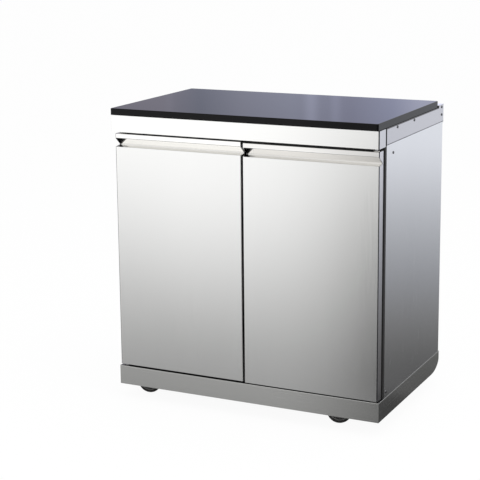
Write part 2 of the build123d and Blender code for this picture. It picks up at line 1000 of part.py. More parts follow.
def castor_bolt(x, y):
    """A bolt from below with its nut on the channel's web."""
    web_top = castor_height + channel_sheet
    length = web_top - plate_bottom
    head = Pos(0, 0, plate_bottom - bolt_head_height) * hexagon(bolt_head_across, bolt_head_height)
    shank = Pos(0, 0, plate_bottom + length / 2) * Cylinder(bolt_radius, length)
    nut = Pos(0, 0, web_top) * hexagon(bolt_head_across, bolt_nut_height)
    return Pos(x, y, 0) * (head + shank + nut)


castor_pieces = {
    "fork": castor_fork(),
    "axle": castor_axle(),
    "wheel": castor_wheel(),
    "tyre": castor_tyre(),
}
for place, axis_place in castor_axes.items():
    spot = Pos(*axis_place, 0) * Rot(0, 0, castor_turns[place])
    for name, piece in castor_pieces.items():
        parts["castor_" + name + "_" + place] = spot * piece
plate_solid = castor_plate()
parts["castor_plates"] = Compound(children=[Pos(*spot, 0) * plate_solid for spot in castor_axes.values()])
parts["castor_bolts"] = Compound(
    children=[castor_bolt(*place) for axis_place in castor_axes.values() for place in bolt_places(axis_place)]
)

os.makedirs("parts", exist_ok=True)
for name, solid in parts.items():
    export_step(solid, "parts/" + name + ".step")
print(len(parts), "parts written")
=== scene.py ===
import json
from math import radians, cos, sin, pi

import bpy
import bmesh
from mathutils import Matrix, Vector

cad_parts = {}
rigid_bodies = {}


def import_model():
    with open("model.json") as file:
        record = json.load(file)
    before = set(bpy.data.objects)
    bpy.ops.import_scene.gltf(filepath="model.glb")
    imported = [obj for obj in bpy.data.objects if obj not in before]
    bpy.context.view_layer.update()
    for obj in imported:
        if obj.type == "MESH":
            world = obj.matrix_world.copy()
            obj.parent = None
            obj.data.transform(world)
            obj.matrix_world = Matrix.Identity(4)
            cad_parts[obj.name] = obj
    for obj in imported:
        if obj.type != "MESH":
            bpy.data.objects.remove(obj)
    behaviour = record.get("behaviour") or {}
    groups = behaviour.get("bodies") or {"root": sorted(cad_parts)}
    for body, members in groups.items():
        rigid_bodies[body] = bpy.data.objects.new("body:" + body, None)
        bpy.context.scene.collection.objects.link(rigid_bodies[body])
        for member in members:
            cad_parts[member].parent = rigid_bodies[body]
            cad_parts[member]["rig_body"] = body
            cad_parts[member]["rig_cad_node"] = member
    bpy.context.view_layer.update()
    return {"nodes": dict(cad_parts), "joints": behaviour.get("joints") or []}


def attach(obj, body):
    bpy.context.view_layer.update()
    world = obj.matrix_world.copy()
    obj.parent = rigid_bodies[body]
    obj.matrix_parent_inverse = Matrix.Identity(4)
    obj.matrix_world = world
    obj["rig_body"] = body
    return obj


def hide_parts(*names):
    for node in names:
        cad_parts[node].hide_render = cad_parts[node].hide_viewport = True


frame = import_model()
scene = bpy.context.scene
nodes = frame["nodes"]
print("frame loaded:", len(nodes), "CAD nodes")


# small helpers for modelling

def deselectAll():
    if bpy.context.object and bpy.context.object.mode != "OBJECT":
        bpy.ops.object.mode_set(mode="OBJECT")
    bpy.ops.object.select_all(action="DESELECT")


def pick(obj):
    deselectAll()
    obj.select_set(True)
    bpy.context.view_layer.objects.active = obj


def clearPicks(mesh):
    for part in (*mesh.faces, *mesh.edges, *mesh.verts):
        part.select = False


def selectFaces(obj, test):
    # faces chosen by their centre and normal, in edit mode
    mesh = bmesh.from_edit_mesh(obj.data)
    clearPicks(mesh)
    for face in mesh.faces:
        face.select = bool(test(face.calc_center_median(), face.normal))
    mesh.select_flush_mode()
    bmesh.update_edit_mesh(obj.data)


def selectEdges(obj, test):
    # edges chosen by their two ends, in edit mode
    bpy.ops.mesh.select_mode(type="EDGE")
    mesh = bmesh.from_edit_mesh(obj.data)
    clearPicks(mesh)
    for edge in mesh.edges:
        edge.select = bool(test(edge.verts[0].co, edge.verts[1].co))
    mesh.select_flush_mode()
    bmesh.update_edit_mesh(obj.data)


def applyPlace(obj):
    pick(obj)
    bpy.ops.object.transform_apply(location=True, rotation=True, scale=True)


def applyModifiers(obj):
    pick(obj)
    for modifier in list(obj.modifiers):
        bpy.ops.object.modifier_apply(modifier=modifier.name)


def joined(pieces, name):
    deselectAll()
    for piece in pieces:
        piece.select_set(True)
    bpy.context.view_layer.objects.active = pieces[0]
    if len(pieces) > 1:
        bpy.ops.object.join()
    whole = bpy.context.view_layer.objects.active
    whole.name = name
    whole.data.name = name
    return whole


def copied(obj, name):
    twin = obj.copy()
    twin.data = obj.data.copy()
    twin.name = name
    scene.collection.objects.link(twin)
    return twin


# small helpers for materials: a value is a number or colour, which is set, or an output, which is linked

def newMaterial(name):
    material = bpy.data.materials.new(name)
    material.use_nodes = True
    tree = material.node_tree
    return material, tree, tree.nodes["Principled BSDF"]


nodeGrid = {"columns": 8, "across": 220, "down": -320}


def addNode(tree, kind, **settings):
    # new nodes stand in rows, so that the tree can be read
    node = tree.nodes.new(kind)
    row, column = divmod(len(tree.nodes), nodeGrid["columns"])
    node.location = (column * nodeGrid["across"], row * nodeGrid["down"])
    for key, value in settings.items():
        setattr(node, key, value)
    return node


def feed(tree, socket, value):
    if isinstance(value, bpy.types.NodeSocket):
        tree.links.new(value, socket)
    elif socket.type == "RGBA":
        socket.default_value = (*value, 1)
    else:
        socket.default_value = value


def calc(tree, operation, first, second=0.0):
    node = addNode(tree, "ShaderNodeMath", operation=operation)
    feed(tree, node.inputs[0], first)
    feed(tree, node.inputs[1], second)
    return node.outputs["Value"]


def distance(tree, x, y):
    squares = calc(tree, "ADD", calc(tree, "POWER", x, 2.0), calc(tree, "POWER", y, 2.0))
    return calc(tree, "SQRT", squares)


def smoothStep(tree, value, start, end):
    # 0 at start, 1 at end, eased between them
    node = addNode(tree, "ShaderNodeMapRange", interpolation_type="SMOOTHSTEP")
    node.inputs["From Min"].default_value = start
    node.inputs["From Max"].default_value = end
    feed(tree, node.inputs["Value"], value)
    return node.outputs["Result"]


def spreadOut(tree, value, span, results):
    # what runs over the span comes out over the results, in a straight line
    node = addNode(tree, "ShaderNodeMapRange")
    for socketName, number in zip(("From Min", "From Max", "To Min", "To Max"), (*span, *results)):
        node.inputs[socketName].default_value = number
    feed(tree, node.inputs["Value"], value)
    return node.outputs["Result"]


def mixTones(tree, share, first, second, blend="MIX"):
    node = addNode(tree, "ShaderNodeMix", data_type="RGBA", blend_type=blend)
    feed(tree, node.inputs["Factor"], share)
    feed(tree, node.inputs["A"], first)
    feed(tree, node.inputs["B"], second)
    return node.outputs["Result"]


def scaleTone(tree, tone, gain):
    node = addNode(tree, "ShaderNodeVectorMath", operation="SCALE")
    feed(tree, node.inputs["Vector"], tone)
    feed(tree, node.inputs["Scale"], gain)
    return node.outputs["Vector"]


def rampTone(tree, value, tones, reach):
    # tones as (place, colour) in order, on a ramp that ends at reach
    ramp = addNode(tree, "ShaderNodeValToRGB")
    stops = ramp.color_ramp.elements
    for index, (place, tone) in enumerate(tones):
        stop = stops[index] if index < 2 else stops.new(place / reach)
        stop.position = place / reach
        stop.color = (*tone, 1)
    tree.links.new(calc(tree, "DIVIDE", value, reach), ramp.inputs["Fac"])
    return ramp.outputs["Color"]


def splitPlace(tree, place):
    parts = addNode(tree, "ShaderNodeSeparateXYZ")
    tree.links.new(place, parts.inputs["Vector"])
    return parts.outputs["X"], parts.outputs["Y"], parts.outputs["Z"]


def addBump(tree, height, strength, depth):
    bump = addNode(tree, "ShaderNodeBump")
    bump.inputs["Strength"].default_value = strength
    bump.inputs["Distance"].default_value = depth
    tree.links.new(height, bump.inputs["Height"])
    return bump.outputs["Normal"]


# shader groups that several materials share

def newGroup(name, scales, results):
    group = bpy.data.node_groups.new(name, "ShaderNodeTree")
    face = group.interface
    face.new_socket("Vector", in_out="INPUT", socket_type="NodeSocketVector")
    for socketName in scales:
        face.new_socket(socketName, in_out="INPUT", socket_type="NodeSocketFloat")
    for socketName in results:
        face.new_socket(socketName, in_out="OUTPUT", socket_type="NodeSocketFloat")
    return group, addNode(group, "NodeGroupInput"), addNode(group, "NodeGroupOutput")


def groupNoise(group, start, scaleName, detail, roughness=0.5):
    noise = addNode(group, "ShaderNodeTexNoise")
    noise.inputs["Detail"].default_value = detail
    noise.inputs["Roughness"].default_value = roughness
    group.links.new(start.outputs["Vector"], noise.inputs["Vector"])
    group.links.new(start.outputs[scaleName], noise.inputs["Scale"])
    return noise.outputs["Fac"]


def makeGrainGroup():
    # fine parallel lines of a brushed sheet, with slow drifts of tone behind them
    group, start, end = newGroup("brushedGrain", ["Line Scale", "Drift Scale"], ["Lines", "Drift"])
    lines = groupNoise(group, start, "Line Scale", detail=4, roughness=0.75)
    drift = groupNoise(group, start, "Drift Scale", detail=2, roughness=0.45)
    group.links.new(lines, end.inputs["Lines"])
    group.links.new(drift, end.inputs["Drift"])
    return group


def makeSpeckleGroup():
    # small crystals of a polished stone, more of them where its clouds are light
    group, start, end = newGroup("stoneSpeckle", ["Crystal Scale", "Cloud Scale"], ["Crystals", "Clouds"])
    cells = addNode(group, "ShaderNodeTexVoronoi", feature="F1")
    group.links.new(start.outputs["Vector"], cells.inputs["Vector"])
    group.links.new(start.outputs["Crystal Scale"], cells.inputs["Scale"])
    reach = 0.24  # from the middle of a cell to where its crystal has faded out
    crystals = spreadOut(group, cells.outputs["Distance"], (0.0, reach), (1.0, 0.0))
    clouds = groupNoise(group, start, "Cloud Scale", detail=4)
    group.links.new(calc(group, "MULTIPLY", crystals, clouds), end.inputs["Crystals"])
    group.links.new(clouds, end.inputs["Clouds"])
    return group


def makeDustGroup():
    # dust and fine scuffs on rubber, plastic, paint and plate
    group, start, end = newGroup("fineDust", ["Dust Scale", "Grit Scale"], ["Dust", "Grit"])
    dust = groupNoise(group, start, "Dust Scale", detail=5, roughness=0.65)
    grit = groupNoise(group, start, "Grit Scale", detail=2)
    group.links.new(dust, end.inputs["Dust"])
    group.links.new(grit, end.inputs["Grit"])
    return group


def placeGroup(tree, group, values, place=None):
    # a pattern group on the piece's own Object coordinates, or on the place that is given
    node = addNode(tree, "ShaderNodeGroup")
    node.node_tree = group
    for socketName, value in values.items():
        node.inputs[socketName].default_value = value
    tree.links.new(place or addNode(tree, "ShaderNodeTexCoord").outputs["Object"], node.inputs["Vector"])
    return node


grainGroup = makeGrainGroup()
speckleGroup = makeSpeckleGroup()
dustGroup = makeDustGroup()
noiseSpan = (0.3, 0.7)  # a noise lies mostly between these

steelPattern = {"Line Scale": 1300.0, "Drift Scale": 6.0}
steelGrain = {"lineSpan": (0.32, 0.68), "depth": 0.00015}
# the outer steels are one brushed steel whose tone is set part by part, lighter, darker and tinted as each
# part shows under this light: painted shade and painted reflection, most of all in the band's dark tone and
# the side steel's blue tint
steelLooks = {
    # stretch is the pattern's scale along x, y and z: the small one is the brushing direction; zones are the
    # painted shade and reflections that the steel wears
    "doorSteel": {"light": (0.955, 0.955, 0.945), "dark": (0.925, 0.927, 0.92), "rough": (0.18, 0.27),
                  "stretch": (1, 1, 0.006), "bump": 0.045, "contrast": 0.025,
                  "zones": ["doorEnd", "darkReflectionDoorBends"]},
    "pullSteel": {"light": (0.985, 0.98, 0.965), "dark": (0.965, 0.957, 0.94), "rough": (0.09, 0.13),
                  "stretch": (0.008, 1, 1), "bump": 0.03, "contrast": 0.015,
                  "zones": ["grooveWall", "lipFace", "grooveFloor", "lipBend", "darkReflectionGrooveEnds"]},
    "fasciaSteel": {"light": (0.98, 0.98, 0.965), "dark": (0.96, 0.96, 0.95), "rough": (0.17, 0.24),
                    "stretch": (0.006, 1, 1), "bump": 0.07, "contrast": 0.035,
                    "zones": ["fasciaEnd", "darkReflectionFasciaBend", "shadeAtReturnEnds"]},
    "ledgeSteel": {"light": (0.98, 0.98, 0.965), "dark": (0.96, 0.96, 0.95), "rough": (0.17, 0.24),
                   "stretch": (0.006, 1, 1), "bump": 0.07, "contrast": 0.035, "zones": ["fasciaEnd"]},
    "sideSteel": {"light": (0.895, 0.897, 0.91), "dark": (0.855, 0.862, 0.875), "rough": (0.18, 0.28),
                  "stretch": (1, 1, 0.006), "bump": 0.045, "contrast": 0.03, "zones": []},
    "bandSteel": {"light": (0.65, 0.645, 0.67), "dark": (0.61, 0.605, 0.63), "rough": (0.19, 0.26),
                  "stretch": (1, 0.006, 1), "bump": 0.07, "contrast": 0.04,
                  "zones": ["shadowBelowBand", "shadowUnderWorktop", "shadeAtBandFront"]},
    "skirtSteel": {"light": (0.85, 0.85, 0.83), "dark": (0.81, 0.815, 0.80), "rough": (0.22, 0.28),
                   "stretch": (0.003, 0.003, 1), "bump": 0.01, "contrast": 0.03, "zones": ["shadeOnSkirtFlange"]},
    "innerSteel": {"light": (0.72, 0.73, 0.75), "dark": (0.64, 0.65, 0.66), "rough": (0.34, 0.46),
                   "stretch": (0.015, 1, 1), "bump": 0.06, "contrast": 0.03, "zones": []},
}
# painted shade and painted reflections on the steel: darker and lighter tones painted onto folded ends,
# bends, seams, ledges and the finger grooves, where the sheet mirrors less light or lies in shade.
# each axis has the place where the zone starts and where it is full; X counts from the middle outwards,
# and End from each door's left end, with more added the deeper a point lies in the finger groove
paintedLightZones = {
    # painted reflections: a duller tone on the fascia's side ends and a dark line along its right front bend
    "fasciaEnd": {"X": (0.4339, 0.4349), "tone": (0.70, 0.695, 0.72)},
    "darkReflectionFasciaBend": {"X": (0.4318, 0.4324), "Y": (-0.2820, -0.2826), "rightOnly": True,
                   "tone": (0.04, 0.04, 0.04)},
    # painted shade: a dark line at the back end of the fascia's returns
    "shadeAtReturnEnds": {"Y": (-0.2345, -0.2335), "tone": (0.08, 0.08, 0.08)},
    # painted reflections: a duller tone on the doors' outer ends and a dark line along their vertical bends
    "doorEnd": {"X": (0.4288, 0.4298), "tone": (0.74, 0.73, 0.76)},
    "darkReflectionDoorBends": {"X": (0.4275, 0.4280), "Y": (-0.2665, -0.2670), "tone": (0.10, 0.10, 0.11)},
    # painted reflections and painted shade in the finger grooves: tones on the groove wall, lip face, groove
    # floor and lip bend, and a black painted reflection at each groove's left end
    "grooveWall": {"Y": (-0.2670, -0.2660), "rightOnly": True, "tone": (0.91, 0.90, 0.885)},
    "lipFace": {"Y": (-0.2660, -0.2666), "Z": (0.8338, 0.8343), "rightOnly": True,
                "tone": (0.86, 0.85, 0.83)},
    "grooveFloor": {"Z": (0.8098, 0.8092), "tone": (0.93, 0.925, 0.91)},
    "darkReflectionGrooveEnds": {"End": (0.0195, 0.0165), "Z": (0.8310, 0.8300), "tone": (0.05, 0.05, 0.05)},
    "lipBend": {"Z": (0.8335, 0.8328), "Y": (-0.2675, -0.2680), "tone": (0.70, 0.70, 0.69)},
    # painted shadow along the band's lower edge over the side panel, painted shade at the band's front end,
    # painted shadow along the band's top under the worktop's edge, and painted shade on the skirt's top
    # flange in the gap under the doors
    "shadowBelowBand": {"Z": (0.8590, 0.8582), "tone": (0.05, 0.05, 0.06)},
    "shadeAtBandFront": {"Y": (-0.2230, -0.2238), "tone": (0.08, 0.08, 0.09)},
    "shadowUnderWorktop": {"Y": (0.2430, 0.2420), "Z": (0.9016, 0.9028), "tone": (0.08, 0.08, 0.09)},
    "shadeOnSkirtFlange": {"Z": (0.1026, 0.1041), "tone": (0.12, 0.12, 0.12)},
}
# how much lower the right door hangs, where each door starts, and how the finger groove's ends slant inwards
pullMarks = {"rightDrop": 0.0025, "leftDoorStart": -0.430, "rightDoorStart": 0.003, "grooveMouth": -0.267,
             "endSlant": 0.56}


# the axes along which the painted shade and reflection zones are measured
def zoneAxes(tree, place, onPulls, marks):
    x, y, z = splitPlace(tree, place)
    onRight = calc(tree, "GREATER_THAN", x, 0.0)
    axes = {"X": calc(tree, "ABSOLUTE", x), "Y": y, "Z": z}
    if onPulls:
        axes["Z"] = calc(tree, "ADD", z, calc(tree, "MULTIPLY", onRight, marks["rightDrop"]))
        step = calc(tree, "MULTIPLY", onRight, marks["rightDoorStart"] - marks["leftDoorStart"])
        fromLeft = calc(tree, "SUBTRACT", calc(tree, "SUBTRACT", x, marks["leftDoorStart"]), step)
        inward = calc(tree, "MULTIPLY", calc(tree, "SUBTRACT", y, marks["grooveMouth"]), marks["endSlant"])
        axes["End"] = calc(tree, "ADD", fromLeft, inward)
    return axes, onRight


# lays each zone's painted tone, shade and reflections, over the steel's colour
def paintZones(tree, colour, zoneNames, axes, onRight):
    for zoneName in zoneNames:
        zone = paintedLightZones[zoneName]
        share = onRight if zone.get("rightOnly") else 1.0
        for axis, value in axes.items():
            if axis in zone:
                share = calc(tree, "MULTIPLY", smoothStep(tree, value, *zone[axis]), share)
        colour = mixTones(tree, share, colour, zone["tone"])
    return colour


def makeSteel(name, look):
    material, tree, shader = newMaterial(name)
    place = addNode(tree, "ShaderNodeTexCoord").outputs["Object"]
    mapping = addNode(tree, "ShaderNodeMapping")
    mapping.inputs["Scale"].default_value = look["stretch"]
    tree.links.new(place, mapping.inputs["Vector"])
    grain = placeGroup(tree, grainGroup, steelPattern, mapping.outputs["Vector"])
    lines = grain.outputs["Lines"]
    tone = mixTones(tree, grain.outputs["Drift"], look["dark"], look["light"])
    # each fine line is a little lighter or darker than its neighbour
    swing = (1.0 - look["contrast"], 1.0 + look["contrast"])
    colour = scaleTone(tree, tone, spreadOut(tree, lines, steelGrain["lineSpan"], swing))
    # painted shade and painted reflections from the zones this steel wears
    if look["zones"]:
        axes, onRight = zoneAxes(tree, place, name == "pullSteel", pullMarks)
        colour = paintZones(tree, colour, look["zones"], axes, onRight)
    shader.inputs["Metallic"].default_value = 1.0
    feed(tree, shader.inputs["Base Color"], colour)
    feed(tree, shader.inputs["Roughness"], spreadOut(tree, lines, noiseSpan, look["rough"]))
    feed(tree, shader.inputs["Normal"], addBump(tree, lines, look["bump"], steelGrain["depth"]))
    return material


paintFinish = {"pattern": {"Dust Scale": 45.0, "Grit Scale": 1500.0}, "depth": 0.0002, "metallic": 0.0}
paintLooks = {
    # the front frame is black paint, chosen this dark so that the gaps round the doors show dark: partly a
    # real finish, partly painted shade
    "gapShadeBlack": {"clean": (0.012, 0.012, 0.013), "dusty": (0.022, 0.022, 0.022), "rough": (0.42, 0.55),
                   "bump": 0.15},
    "tyreRubber": {"clean": (0.018, 0.018, 0.019), "dusty": (0.05, 0.048, 0.045), "rough": (0.55, 0.75),
                   "bump": 0.25},
    "padRubber": {"clean": (0.015, 0.015, 0.015), "dusty": (0.03, 0.03, 0.03), "rough": (0.6, 0.8),
                  "bump": 0.2},
    "wheelPlastic": {"clean": (0.11, 0.115, 0.125), "dusty": (0.19, 0.185, 0.175), "rough": (0.38, 0.5),
                     "bump": 0.1},
    "catchPlastic": {"clean": (0.02, 0.02, 0.021), "dusty": (0.035, 0.035, 0.035), "rough": (0.4, 0.5),
                     "bump": 0.1},
    "bushPlastic": {"clean": (0.72, 0.72, 0.69), "dusty": (0.62, 0.61, 0.58), "rough": (0.35, 0.45),
                    "bump": 0.08},
}
platedFinish = {"pattern": {"Dust Scale": 120.0, "Grit Scale": 2200.0}, "depth": 0.0001, "metallic": 1.0}
platedLooks = {
    "zincPlate": {"clean": (0.50, 0.50, 0.52), "dusty": (0.66, 0.67, 0.70), "rough": (0.26, 0.42),
                  "bump": 0.06},
    "screwSteel": {"clean": (0.10, 0.10, 0.11), "dusty": (0.20, 0.20, 0.21), "rough": (0.25, 0.4),
                   "bump": 0.06},
}


def makeDusted(name, look, finish):
    material, tree, shader = newMaterial(name)
    pattern = placeGroup(tree, dustGroup, finish["pattern"])
    dust, grit = pattern.outputs["Dust"], pattern.outputs["Grit"]
    shader.inputs["Metallic"].default_value = finish["metallic"]
    feed(tree, shader.inputs["Base Color"], mixTones(tree, dust, look["clean"], look["dusty"]))
    feed(tree, shader.inputs["Roughness"], spreadOut(tree, dust, noiseSpan, look["rough"]))
    feed(tree, shader.inputs["Normal"], addBump(tree, grit, look["bump"], finish["depth"]))
    return material


graniteLook = {"ground": (0.0015, 0.0015, 0.002), "crystal": (0.045, 0.047, 0.06), "rough": (0.02, 0.05),
               "ior": 1.25, "pattern": {"Crystal Scale": 520.0, "Cloud Scale": 11.0}}


def makeGranite(name, look):
    material, tree, shader = newMaterial(name)
    stone = placeGroup(tree, speckleGroup, look["pattern"])
    shader.inputs["IOR"].default_value = look["ior"]
    tone = mixTones(tree, stone.outputs["Crystals"], look["ground"], look["crystal"])
    feed(tree, shader.inputs["Base Color"], tone)
    feed(tree, shader.inputs["Roughness"], spreadOut(tree, stone.outputs["Clouds"], noiseSpan, look["rough"]))
    return material


materials = {name: makeSteel(name, look) for name, look in steelLooks.items()}
materials.update({name: makeDusted(name, look, paintFinish) for name, look in paintLooks.items()})
materials.update({name: makeDusted(name, look, platedFinish) for name, look in platedLooks.items()})
materials["blackGranite"] = makeGranite("blackGranite", graniteLook)
print("materials made:", len(materials))

# which finish each CAD node wears: the first beginning that fits the node's name
nodeFinishes = [
    ("left_door_skin", "doorSteel"), ("right_door_skin", "doorSteel"),
    ("left_door_pull", "pullSteel"), ("right_door_pull", "pullSteel"),
    ("left_door_liner", "innerSteel"), ("right_door_liner", "innerSteel"),
    ("left_door_bushes", "bushPlastic"), ("right_door_bushes", "bushPlastic"),
    ("left_door_strike", "zincPlate"), ("right_door_strike", "zincPlate"),
    ("door_pins", "zincPlate"), ("door_bumpers", "padRubber"),
    ("fascia", "fasciaSteel"), ("rear_ledge", "ledgeSteel"),
    ("side_band", "bandSteel"), ("side_panel", "sideSteel"), ("back_panel", "sideSteel"),
    ("skirt", "skirtSteel"), ("front_", "gapShadeBlack"), ("magnetic", "catchPlastic"),
    ("worktop_pads", "padRubber"), ("worktop", "blackGranite"),
    ("castor_tyre", "tyreRubber"), ("castor_wheel", "wheelPlastic"), ("castor_channel", "innerSteel"),
    ("castor_", "zincPlate"), ("band_screws", "screwSteel"), ("panel_screws", "screwSteel"),
    ("back_screws", "screwSteel"), ("", "innerSteel"),
]
for nodeName, obj in nodes.items():
    finish = next(look for start, look in nodeFinishes if nodeName.startswith(start))
    obj.data.materials.clear()
    obj.data.materials.append(materials[finish])
print("CAD nodes finished")


# rounder shading on the CAD nodes' bends, from live modifiers that leave their meshes alone
bendLimit = radians(40)  # a sharper turn than this stays an edge
mergeGap = 0.00001


def makeSmoothGroup(limit, gap):
    group = bpy.data.node_groups.new("smoothBends", "GeometryNodeTree")
    group.interface.new_socket("Geometry", in_out="INPUT", socket_type="NodeSocketGeometry")
    group.interface.new_socket("Geometry", in_out="OUTPUT", socket_type="NodeSocketGeometry")
    start = addNode(group, "NodeGroupInput")
    merge = addNode(group, "GeometryNodeMergeByDistance")
    merge.inputs["Distance"].default_value = gap
    allSmooth = addNode(group, "GeometryNodeSetShadeSmooth", domain="FACE")
    angle = addNode(group, "GeometryNodeInputMeshEdgeAngle")
    sharp = addNode(group, "FunctionNodeCompare", data_type="FLOAT", operation="GREATER_THAN")
    sharp.inputs["B"].default_value = limit
    keepSharp = addNode(group, "GeometryNodeSetShadeSmooth", domain="EDGE")
    keepSharp.inputs["Shade Smooth"].default_value = False
    end = addNode(group, "NodeGroupOutput")
    group.links.new(start.outputs["Geometry"], merge.inputs["Geometry"])
    group.links.new(merge.outputs["Geometry"], allSmooth.inputs["Geometry"])
    group.links.new(allSmooth.outputs["Geometry"], keepSharp.inputs["Geometry"])
    group.links.new(angle.outputs["Unsigned Angle"], sharp.inputs["A"])
    group.links.new(sharp.outputs["Result"], keepSharp.inputs["Selection"])
    group.links.new(keepSharp.outputs["Geometry"], end.inputs["Geometry"])
    return group


def weighNormals(obj):
    weights = obj.modifiers.new("flatFacesFirst", "WEIGHTED_NORMAL")
    weights.keep_sharp = True
    return weights


smoothGroup = makeSmoothGroup(bendLimit, mergeGap)
for obj in nodes.values():
    rounding = obj.modifiers.new("smoothBends", "NODES")
    rounding.node_group = smoothGroup
    weighNormals(obj)
print("bends shaded round")


jointsByName = {joint["name"]: joint for joint in frame["joints"]}
castorPlaces = ["front_left", "front_right", "rear_left", "rear_right"]
roundLimit = radians(35)  # turned and moulded pieces shade round below this
levelGap = 1e-6  # two points closer than this lie on one level, or on the axis
squareOn = 0.9  # a face whose normal has this much of an axis lies square to it
justInside = 0.99  # what is picked by its size lies past this share of it


def addCylinder(steps, radius, height, level=0.0):
    deselectAll()
    bpy.ops.mesh.primitive_cylinder_add(vertices=steps, radius=radius, depth=height, end_fill_type="NGON",
                                        location=(0, 0, level))
    return bpy.context.object


def wheelMatrix(place):
    # turns a piece drawn around the upright axis onto the castor's axle
    spin = jointsByName["wheel_" + place + "_spin"]
    axis = Vector(spin["axis"]).normalized()
    centre = Vector(spin["pos_m"])
    return Matrix.Translation(centre) @ axis.to_track_quat("Z", "X").to_matrix().to_4x4()


def turnFacesOut():
    # in edit mode, and leaves it
    bpy.ops.mesh.select_all(action="SELECT")
    bpy.ops.mesh.normals_make_consistent(inside=False)
    bpy.ops.object.mode_set(mode="OBJECT")
    bpy.ops.object.shade_smooth_by_angle(angle=roundLimit)


tyre = {"radius": 0.0375, "width": 0.022, "depth": 0.0085, "shoulder": 0.005, "shoulderSteps": 7,
        "lineWidth": 0.0012, "lineDepth": 0.0006, "steps": 96}


def makeTyre(values):
    ring = addCylinder(values["steps"], values["radius"], values["width"])
    bpy.ops.object.mode_set(mode="EDIT")
    bpy.ops.mesh.select_mode(type="FACE")
    selectFaces(ring, lambda centre, normal: abs(normal.z) > squareOn)
    bpy.ops.mesh.inset(thickness=values["depth"], depth=0)
    selectFaces(ring, lambda centre, normal: abs(normal.z) > squareOn and centre.xy.length < levelGap)
    bpy.ops.mesh.bridge_edge_loops()
    rim = values["radius"] * justInside  # what lies further out is the tread
    selectEdges(ring, lambda a, b: a.xy.length > rim and b.xy.length > rim and abs(a.z - b.z) < levelGap)
    bpy.ops.mesh.bevel(offset=values["shoulder"], segments=values["shoulderSteps"], profile=0.5)
    # a moulding line round the middle of the tread, between two grooves as wide as itself
    inner, outer = values["lineWidth"] * 0.5, values["lineWidth"] * 1.5
    for level in (-outer, -inner, inner, outer):
        bpy.ops.mesh.select_all(action="SELECT")
        bpy.ops.mesh.bisect(plane_co=(0, 0, level), plane_no=(0, 0, 1))
    bpy.ops.mesh.select_mode(type="FACE")
    selectFaces(ring, lambda centre, normal: centre.xy.length > rim and inner < abs(centre.z) < outer)
    bpy.ops.transform.shrink_fatten(value=-values["lineDepth"])
    turnFacesOut()
    return ring


wheel = {"radius": 0.029, "width": 0.022, "rim": 0.004, "hub": 0.011, "web": 0.006, "hubHalf": 0.0122,
         "bore": 0.00405, "softEdge": 0.0006, "ribs": 6, "ribWidth": 0.0024, "ribHeightShare": 0.72,
         "ribOverlap": 0.001, "ribEdge": 0.0005, "edgeSteps": 3, "steps": 96}


def makeWheelDisc(values):
    disc = addCylinder(values["steps"], values["radius"], values["width"])
    half = values["width"] / 2
    bpy.ops.object.mode_set(mode="EDIT")
    bpy.ops.mesh.select_mode(type="FACE")
    for side in (-1, 1):
        selectFaces(disc, lambda centre, normal: normal.z * side > squareOn)
        bpy.ops.mesh.inset(thickness=values["rim"], depth=0)
        # dish down to the web, then stand the hub up again
        down = -side * (half - values["web"] / 2)
        bpy.ops.mesh.extrude_region_move(TRANSFORM_OT_translate={"value": (0, 0, down)})
        bpy.ops.mesh.inset(thickness=values["radius"] - values["rim"] - values["hub"], depth=0)
        up = side * (values["hubHalf"] - values["web"] / 2)
        bpy.ops.mesh.extrude_region_move(TRANSFORM_OT_translate={"value": (0, 0, up)})
        bpy.ops.mesh.inset(thickness=values["hub"] - values["bore"], depth=0)
    # the bore goes through, and the edge rings of rim and hub are softened
    selectFaces(disc, lambda centre, normal: abs(normal.z) > squareOn and centre.xy.length < levelGap)
    bpy.ops.mesh.bridge_edge_loops()
    selectEdges(disc, lambda a, b: abs(a.z - b.z) < levelGap and abs(a.z) > half * justInside
                and abs(a.xy.length - b.xy.length) < mergeGap)
    bpy.ops.mesh.bevel(offset=values["softEdge"], segments=values["edgeSteps"], profile=0.5)
    bpy.ops.object.mode_set(mode="OBJECT")
    return disc


def makeRib(values, turn):
    reach = (values["radius"] - values["rim"] + values["hub"]) / 2
    length = values["radius"] - values["rim"] - values["hub"] + values["ribOverlap"]
    deselectAll()
    bpy.ops.mesh.primitive_cube_add(size=1, location=(reach * cos(turn), reach * sin(turn), 0),
                                    rotation=(0, 0, turn))
    rib = bpy.context.object
    rib.scale = (length, values["ribWidth"], values["width"] * values["ribHeightShare"])
    applyPlace(rib)
    edge = rib.modifiers.new("edge", "BEVEL")
    edge.width = values["ribEdge"]
    edge.segments = values["edgeSteps"]
    applyModifiers(rib)
    return rib


def makeWheelCentre(values):
    disc = makeWheelDisc(values)
    ribs = [makeRib(values, 2 * pi * index / values["ribs"]) for index in range(values["ribs"])]
    whole = joined([disc] + ribs, "wheelCentre")
    pick(whole)
    bpy.ops.object.mode_set(mode="EDIT")
    turnFacesOut()
    return whole


tyreModel = makeTyre(tyre)
wheelModel = makeWheelCentre(wheel)
for place in castorPlaces:
    turn = wheelMatrix(place)
    ring = copied(tyreModel, "tyre_" + place)
    ring.data.transform(turn)
    ring.data.materials.append(materials["tyreRubber"])
    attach(ring, "wheel_" + place)
    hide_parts("castor_tyre_" + place)
    centre = copied(wheelModel, "wheelCentre_" + place)
    centre.data.transform(turn)
    centre.data.materials.append(materials["wheelPlastic"])
    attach(centre, "wheel_" + place)
    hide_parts("castor_wheel_" + place)
bpy.data.objects.remove(tyreModel)
bpy.data.objects.remove(wheelModel)
print("castor wheels and tyres modelled")


# the skirts' rear corners are rounder than their nodes, so the bent plates are copied and reshaped
skirtCorner = {"y": 0.287, "z": 0.044, "radius": 0.030, "longer": 2.5, "taller": 1.25, "margin": 0.0005}


